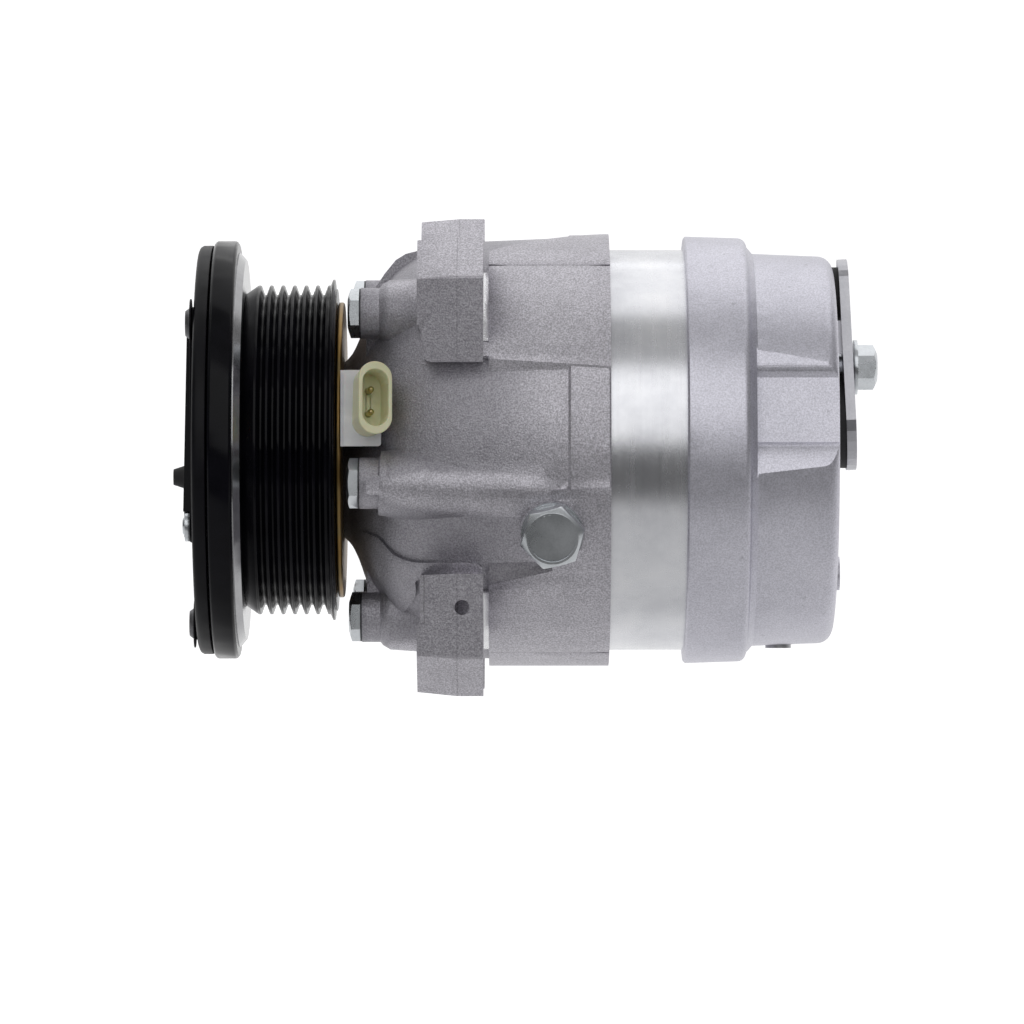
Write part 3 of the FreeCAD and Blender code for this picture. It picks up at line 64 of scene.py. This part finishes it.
class Look:
    """A Principled material built from nodes, in the object's own coordinates."""

    def __init__(self, name):
        self.material = bpy.data.materials.new(name)
        self.material.use_nodes = True
        self.tree = self.material.node_tree
        self.tree.nodes.clear()
        self.shader = self.node("ShaderNodeBsdfPrincipled")
        output = self.node("ShaderNodeOutputMaterial")
        output.name = "Material Output"
        self.join(self.shader.outputs["BSDF"], output.inputs["Surface"])
        self.place = self.node("ShaderNodeTexCoord").outputs["Object"]

    def node(self, kind, **values):
        made = self.tree.nodes.new(kind)
        for key, value in values.items():
            setattr(made, key, value)
        return made

    def join(self, source, target):
        self.tree.links.new(source, target)

    def feed(self, target, value):
        if isinstance(value, (int, float)):
            target.default_value = value
        else:
            self.join(value, target)

    def math(self, operation, a, b=0.0):
        made = self.node("ShaderNodeMath", operation=operation)
        for socket, value in zip(made.inputs, (a, b)):
            self.feed(socket, value)
        return made.outputs[0]

    def product(self, a, b):
        return self.math("MULTIPLY", a, b)

    def total(self, a, b):
        return self.math("ADD", a, b)

    def difference(self, a, b):
        return self.math("SUBTRACT", a, b)

    def stretched(self, x, y, z):
        """The place, scaled along each axis."""
        made = self.node("ShaderNodeMapping")
        made.inputs["Scale"].default_value = (x, y, z)
        self.join(self.place, made.inputs["Vector"])
        return made.outputs[0]

    def noise(self, scale, detail, rough, where=None):
        made = self.node("ShaderNodeTexNoise")
        made.inputs["Scale"].default_value = scale
        made.inputs["Detail"].default_value = detail
        made.inputs["Roughness"].default_value = rough
        self.join(where or self.place, made.inputs["Vector"])
        return made.outputs["Fac"]

    def cells(self, scale):
        """Distance to the nearest of many scattered points."""
        made = self.node("ShaderNodeTexVoronoi", feature="F1")
        made.inputs["Scale"].default_value = scale
        self.join(self.place, made.inputs["Vector"])
        return made.outputs["Distance"]

    def axes(self):
        made = self.node("ShaderNodeSeparateXYZ")
        self.join(self.place, made.inputs[0])
        return made.outputs

    def radius(self):
        """Distance from the shaft axis."""
        parts = self.axes()
        y2 = self.product(parts["Y"], parts["Y"])
        z2 = self.product(parts["Z"], parts["Z"])
        return self.math("SQRT", self.total(y2, z2))

    def step(self, value, low, high):
        """0 below low, 1 above high, straight between."""
        made = self.node("ShaderNodeMapRange")
        made.inputs["From Min"].default_value = low
        made.inputs["From Max"].default_value = high
        self.feed(made.inputs["Value"], value)
        return made.outputs[0]

    def between(self, value, low, high):
        """Map the value's 0..1 onto low..high."""
        made = self.node("ShaderNodeMapRange")
        made.inputs["To Min"].default_value = low
        made.inputs["To Max"].default_value = high
        self.feed(made.inputs["Value"], value)
        return made.outputs[0]

    def ramp(self, value, stops):
        made = self.node("ShaderNodeValToRGB")
        band = made.color_ramp
        while len(band.elements) < len(stops):
            band.elements.new(0.5)
        for element, (at, colour) in zip(band.elements, stops):
            element.position = at
            element.color = (*colour, 1.0)
        self.feed(made.inputs[0], value)
        return made.outputs[0]

    def mix(self, amount, a, b):
        """Blend two colours."""
        made = self.node("ShaderNodeMix", data_type="RGBA")
        self.feed(made.inputs[0], amount)
        for socket, value in ((made.inputs[6], a), (made.inputs[7], b)):
            if isinstance(value, tuple):
                socket.default_value = (*value, 1.0)
            else:
                self.join(value, socket)
        return made.outputs[2]

    def colour(self, value):
        self.join(value, self.shader.inputs["Base Color"])

    def roughness(self, value):
        self.feed(self.shader.inputs["Roughness"], value)

    def bump(self, height, strength, distance):
        """Fine relief in the surface, from a height and a depth in metres."""
        made = self.node("ShaderNodeBump")
        made.inputs["Strength"].default_value = strength
        made.inputs["Distance"].default_value = distance
        self.join(height, made.inputs["Height"])
        self.join(made.outputs[0], self.shader.inputs["Normal"])

    def set(self, **values):
        for key, value in values.items():
            self.shader.inputs[key.replace("_", " ")].default_value = value


def shot_blasted(name, dark, light, speckle):
    """Die casting with sandy grain, faint flow marks and a few specks.

    Gives the look, its colour, its flow marks and the height of its grain.
    """
    look = Look(name)
    grain = look.noise(2600.0, 2.0, 0.7)
    sand = look.cells(1500.0)
    patches = look.noise(24.0, 4.0, 0.6)
    marks = look.noise(170.0, 4.0, 0.65)
    tone = look.total(look.product(patches, 0.40), look.product(marks, 0.20))
    tone = look.total(tone, look.product(grain, 0.40))
    colour = look.ramp(tone, [(0.36, dark), (0.64, light)])
    specks = look.step(look.noise(420.0, 2.0, 0.5), 0.70, 0.76)
    colour = look.mix(look.product(specks, 0.25), colour, (0.08, 0.08, 0.09))
    blast = look.step(look.noise(2100.0, 2.0, 0.6), 0.60, 0.40)
    colour = look.mix(look.product(blast, speckle), colour, (0.14, 0.135, 0.15))
    height = look.total(look.product(grain, 0.8), look.product(sand, 0.5))
    return look, colour, marks, height


def inside(look, value, low, high, edge=0.0001):
    """1 where the value lies between low and high, with narrow soft edges."""
    above = look.step(value, low - edge, low + edge)
    below = look.difference(1.0, look.step(value, high - edge, high + edge))
    return look.product(above, below)


def pad_wall_shade(look, along):
    """1 on the flat wall above each lower side pad, which narrows towards the rear; the mask for the painted
    shade there.
    """
    height = look.axes()["Z"]
    back = look.difference(along, pad_front_x)
    top = look.total(wall_top_z, look.product(back, wall_top_slope))
    foot = look.total(wall_foot_z, look.product(back, wall_foot_slope))
    under_top = inside(look, look.difference(top, height), 0.0, wall_reach)
    over_foot = inside(look, look.difference(height, foot), 0.0, wall_reach)
    return look.product(look.product(under_top, over_foot), inside(look, along, pad_front_x, pad_step_x))


def front_casting():
    """Front head: darker on the drum, with painted shade on the dome behind the clutch, on the ears' sides
    and on the pad walls.

    The drum's grain is coarser. A parting line crosses the ears as a dark line of painted shade, and a
    machined strip lies behind them.
    """
    look, colour, marks, height = shot_blasted(
        "cast_aluminium", (0.51, 0.495, 0.54), (0.77, 0.75, 0.805), 0.50)
    along = look.axes()["X"]
    out = look.radius()
    drum = look.difference(1.0, look.step(out, drum_r, drum_r + drum_fade))
    colour = look.mix(look.product(drum, 0.42), colour, (0.20, 0.195, 0.22))
    # Painted shade: the dome's front, in the hollow behind the clutch, is darkened towards near black
    hollow_shade = look.difference(1.0, look.step(along, dome_shade_x, dome_shade_x + dome_fade))
    colour = look.mix(look.product(hollow_shade, 0.60), colour, (0.08, 0.08, 0.09))
    # Painted shade: the ears' side faces are darkened against their lighter end faces
    ears = look.step(out, ear_start_r, ear_start_r + ear_fade)
    side = look.step(look.math("ABSOLUTE", look.axes()["Y"]), ear_side_y, ear_side_y + ear_fade)
    colour = look.mix(look.product(look.product(ears, side), 0.42), colour, (0.12, 0.115, 0.13))
    # Painted shade on the flat wall above each lower side pad
    colour = look.mix(look.product(pad_wall_shade(look, along), 0.45), colour, (0.12, 0.115, 0.13))
    # Painted shade: a narrow dark line along the ears' parting-line crease
    seam_shade = inside(look, along, seam_x - seam_shade_half_width, seam_x + seam_shade_half_width, seam_shade_edge)
    seam_shade = look.product(seam_shade, ears)
    colour = look.mix(look.product(seam_shade, 0.30), colour, (0.06, 0.06, 0.065))
    strip = look.product(inside(look, along, 0.0, pad_front_x), inside(look, out, strip_low_r, strip_high_r))
    from_middle = look.math("ABSOLUTE", look.axes()["Z"])
    strip = look.product(strip, look.step(from_middle, strip_start_z, strip_full_z))
    look.colour(look.mix(strip, colour, (0.90, 0.90, 0.92)))
    look.roughness(look.difference(look.between(marks, 0.40, 0.50), look.product(strip, 0.25)))
    look.bump(look.product(height, look.total(0.45, look.product(drum, 0.55))), 1.0, 0.00020)
    look.set(Metallic=0.78)
    return look.material


def rear_casting():
    """Rear head: finer, brighter and a little bluer."""
    look, colour, marks, height = shot_blasted(
        "rear_casting", (0.60, 0.595, 0.665), (0.78, 0.77, 0.85), 0.26)
    look.colour(colour)
    look.roughness(look.between(marks, 0.34, 0.44))
    look.bump(height, 0.35, 0.00010)
    look.set(Metallic=0.85)
    return look.material


def machined_aluminium():
    """Turned band with fine rings and handling scratches."""
    look = Look("machined_aluminium")
    rings = look.noise(1.0, 2.0, 0.5, look.stretched(9000.0, 40.0, 40.0))
    broad = look.noise(1.0, 3.0, 0.6, look.stretched(700.0, 12.0, 12.0))
    scuffs = look.noise(1.0, 4.0, 0.7, look.stretched(120.0, 900.0, 60.0))
    stain = look.noise(34.0, 4.0, 0.65)
    look.colour(look.ramp(stain, [(0.30, (0.60, 0.605, 0.64)), (0.55, (0.74, 0.745, 0.775)),
                                  (0.75, (0.82, 0.82, 0.84))]))
    wear = look.total(look.product(broad, 0.6), look.product(scuffs, 0.4))
    look.roughness(look.between(wear, 0.16, 0.36))
    height = look.total(rings, look.product(scuffs, 0.3))
    look.bump(height, 0.25, 0.00003)
    look.set(Metallic=1.0)
    return look.material


def steel(name, dark, light, low, high):
    """Ground or plated steel with small changes of tone."""
    look = Look(name)
    cloud = look.noise(90.0, 4.0, 0.6)
    fine = look.noise(1600.0, 3.0, 0.6)
    tone = look.total(look.product(cloud, 0.7), look.product(fine, 0.3))
    look.colour(look.ramp(tone, [(0.32, dark), (0.66, light)]))
    look.roughness(look.between(cloud, low, high))
    look.bump(fine, 0.18, 0.00003)
    look.set(Metallic=1.0)
    return look.material


def black_paint(name, low, high, grain, depth, gloss):
    """Black finish with a fine orange-peel and slight dust."""
    look = Look(name)
    peel = look.noise(grain, 3.0, 0.55)
    dust = look.noise(70.0, 5.0, 0.65)
    look.colour(look.ramp(dust, [(0.35, (0.0016, 0.0016, 0.0028)), (0.72, (0.0050, 0.0048, 0.0075))]))
    look.roughness(look.between(dust, low, high))
    look.bump(peel, 0.25, depth)
    look.set(Metallic=0.0, Specular_IOR_Level=gloss)
    return look.material


def dull_black(name):
    """Dull black rubber, or the resin round the coil."""
    look = Look(name)
    fine = look.noise(1800.0, 3.0, 0.6)
    cloud = look.noise(60.0, 3.0, 0.6)
    look.colour(look.ramp(cloud, [(0.3, (0.010, 0.010, 0.011)), (0.7, (0.024, 0.023, 0.025))]))
    look.roughness(look.between(cloud, 0.55, 0.75))
    look.bump(fine, 0.3, 0.00005)
    return look.material


def plastic(name, dark, light, low, high, glow):
    """Moulded nylon with faint flow tones."""
    look = Look(name)
    flow = look.noise(1.0, 3.0, 0.6, look.stretched(120.0, 60.0, 180.0))
    fine = look.noise(2200.0, 2.0, 0.6)
    look.colour(look.ramp(flow, [(0.3, dark), (0.7, light)]))
    look.roughness(look.between(flow, low, high))
    look.bump(fine, 0.15, 0.00004)
    look.set(Subsurface_Weight=glow, Subsurface_Scale=0.002)
    return look.material


def yellow_zinc():
    """Yellow-passivated zinc with drifting rainbow tones."""
    look = Look("yellow_zinc")
    drift = look.noise(55.0, 3.0, 0.6)
    fine = look.noise(1600.0, 2.0, 0.6)
    look.colour(look.ramp(drift, [(0.30, (0.17, 0.10, 0.035)), (0.50, (0.26, 0.165, 0.06)),
                                  (0.70, (0.21, 0.17, 0.09))]))
    look.roughness(look.between(drift, 0.28, 0.45))
    look.bump(fine, 0.2, 0.00003)
    look.set(Metallic=1.0)
    return look.material


finishes = {
    "cast_aluminium": front_casting(),
    "rear_casting": rear_casting(),
    "machined_aluminium": machined_aluminium(),
    "steel_bright": steel("steel_bright", (0.42, 0.42, 0.43), (0.62, 0.62, 0.64), 0.22, 0.40),
    "polished_steel": steel("polished_steel", (0.30, 0.30, 0.31), (0.42, 0.42, 0.43), 0.12, 0.20),
    "cover_steel": steel("cover_steel", (0.40, 0.40, 0.43), (0.56, 0.56, 0.59), 0.26, 0.40),
    "steel_dark": steel("steel_dark", (0.10, 0.10, 0.105), (0.20, 0.20, 0.21), 0.35, 0.50),
    "zinc_steel": steel("zinc_steel", (0.50, 0.525, 0.545), (0.72, 0.745, 0.775), 0.20, 0.36),
    "washer_dark": steel("washer_dark", (0.035, 0.035, 0.04), (0.09, 0.09, 0.095), 0.40, 0.60),
    "yellow_zinc": yellow_zinc(),
    "winding": dull_black("winding"),
    "gloss_black": black_paint("gloss_black", 0.12, 0.24, 500.0, 0.00003, 0.12),
    "black_oxide": black_paint("black_oxide", 0.34, 0.50, 1300.0, 0.00008, 0.16),
    "rubber_black": dull_black("rubber_black"),
    "connector_green": plastic("connector_green", (0.70, 0.70, 0.45), (0.78, 0.77, 0.53), 0.34, 0.48, 0.25),
    "base_grey": plastic("base_grey", (0.66, 0.66, 0.68), (0.78, 0.78, 0.79), 0.42, 0.56, 0.1),
    "brass_pin": steel("brass_pin", (0.42, 0.36, 0.16), (0.58, 0.50, 0.26), 0.25, 0.40),
}

own_finish = {
    "rear_head": "rear_casting", "rotor_step_ring": "polished_steel",
    "armature_rivets": "steel_dark", "port_cover_plate": "cover_steel"}

for part in frame["record"]["subparts"]:
    piece = nodes[part["node"]]
    finish = own_finish.get(part["node"], part["material_slot"])
    piece.data.materials.clear()
    piece.data.materials.append(finishes[finish])


# ---------------------------------------------------------------- edges

def soften(name, width):
    """Small rounded edges on a CAD piece, wherever two faces meet at more than a slight angle."""
    piece = nodes[name]
    weld = piece.modifiers.new("weld", "WELD")
    weld.merge_threshold = 0.000002
    bevel = piece.modifiers.new("edge", "BEVEL")
    bevel.width = width
    bevel.segments = 2
    bevel.limit_method = "ANGLE"
    bevel.angle_limit = math.radians(32.0)
    bevel.harden_normals = True
    bevel.use_clamp_overlap = True


edge_widths = {
    0.00040: ("front_head",),
    0.00030: ("rear_head", "friction_flange", "drain_plug", "port_cover_plate", "coil_connector",
              "connector_base", "clutch_hub"),
    0.00025: ("armature_plate",),
    0.00020: ("through_bolts", "port_cover_bolt", "hub_button", "coil_housing"),
    0.00015: ("belt_ring", "hub_rivets", "armature_rivets"),
    0.00010: ("leaf_straps",)}
for width, names in edge_widths.items():
    for name in names:
        soften(name, width)


# ---------------------------------------------------------------- stage

def floor_paper(mesh):
    """Matte white paper. In reflections it is dark well in front of the object and pale behind it."""
    look = Look("floor_paper")
    look.colour(look.ramp(look.noise(3.0, 3.0, 0.5), [(0.3, (0.80, 0.80, 0.81)), (0.7, (0.84, 0.84, 0.845))]))
    look.roughness(0.9)
    look.set(Emission_Strength=0.62, Emission_Color=(1.0, 1.0, 1.0, 1.0))
    glow = look.node("ShaderNodeEmission")
    depth = look.step(look.axes()["Y"], -glow_reach, glow_reach)
    shade = look.ramp(depth, [(at, (level,) * 3) for at, level in glow_levels])
    look.join(shade, glow.inputs["Color"])
    both = look.node("ShaderNodeMixShader")
    look.join(look.node("ShaderNodeLightPath").outputs["Is Camera Ray"], both.inputs[0])
    look.join(glow.outputs[0], both.inputs[1])
    look.join(look.shader.outputs[0], both.inputs[2])
    output = look.tree.nodes["Material Output"]
    look.join(both.outputs[0], output.inputs["Surface"])
    mesh.materials.append(look.material)


def stage_floor():
    """Pale floor that sweeps up behind into a backdrop."""
    points = []
    for k in range(13):
        a = math.radians(90.0 * k / 12)
        points.append((sweep_start_y + sweep_r * math.sin(a), floor_level + sweep_r * (1 - math.cos(a))))
    profile = [(-4.0, floor_level)] + points + [(sweep_start_y + sweep_r, 4.0)]
    verts = []
    for x in (-floor_half_width, floor_half_width):
        verts += [(x, y, z) for y, z in profile]
    count = len(profile)
    faces = [(k, k + 1, count + k + 1, count + k) for k in range(count - 1)]
    mesh = bpy.data.meshes.new("floor")
    mesh.from_pydata(verts, [], faces)
    for face in mesh.polygons:
        face.use_smooth = True
    floor = bpy.data.objects.new("floor", mesh)
    bpy.context.scene.collection.objects.link(floor)
    floor_paper(mesh)


def soft_light(name, place, target, width, height, power):
    """Rectangular studio light."""
    data = bpy.data.lights.new(name, "AREA")
    data.shape = "RECTANGLE"
    data.size = width
    data.size_y = height
    data.energy = power
    light = bpy.data.objects.new(name, data)
    light.location = place
    light.rotation_euler = (Vector(target) - Vector(place)).to_track_quat("-Z", "Y").to_euler()
    light.visible_camera = False
    bpy.context.scene.collection.objects.link(light)


def studio():
    """Dim room, pale to look at, with a large soft light in front and one overhead."""
    world = bpy.data.worlds.new("world")
    world.use_nodes = True
    tree = world.node_tree
    background = tree.nodes["Background"]
    background.inputs["Color"].default_value = (1.0, 1.0, 1.0, 1.0)
    where = tree.nodes.new("ShaderNodeTexCoord")
    split = tree.nodes.new("ShaderNodeSeparateXYZ")
    tree.links.new(where.outputs["Generated"], split.inputs[0])
    height = tree.nodes.new("ShaderNodeMapRange")
    height.inputs["From Min"].default_value = 0.0
    height.inputs["From Max"].default_value = room_full_height
    height.inputs["To Min"].default_value = room_low_glow
    height.inputs["To Max"].default_value = room_high_glow
    tree.links.new(split.outputs["Z"], height.inputs["Value"])
    path = tree.nodes.new("ShaderNodeLightPath")
    seen = tree.nodes.new("ShaderNodeMath")
    seen.operation = "MAXIMUM"
    tree.links.new(path.outputs["Is Camera Ray"], seen.inputs[0])
    tree.links.new(height.outputs[0], seen.inputs[1])
    tree.links.new(seen.outputs[0], background.inputs["Strength"])
    bpy.context.scene.world = world
    soft_light("front_box", (0.0, -2.0, 1.15), (0.0, -1.0, 1.15), 3.2, 2.1, 20.0)
    soft_light("top_box", (0.0, 0.65, 1.6), (0.0, 0.65, 0.0), 3.2, 1.8, 13.5)


def camera():
    """Long lens that looks square at the near side."""
    data = bpy.data.cameras.new("camera")
    data.sensor_width = 36.0
    data.lens = lens_mm
    data.clip_start = 0.05
    data.clip_end = 30.0
    eye = bpy.data.objects.new("camera", data)
    eye.location = camera_place
    eye.rotation_euler = (math.radians(90.0), 0.0, 0.0)
    bpy.context.scene.collection.objects.link(eye)
    bpy.context.scene.camera = eye


stage_floor()
studio()
camera()
bpy.context.scene.view_settings.view_transform = "Standard"
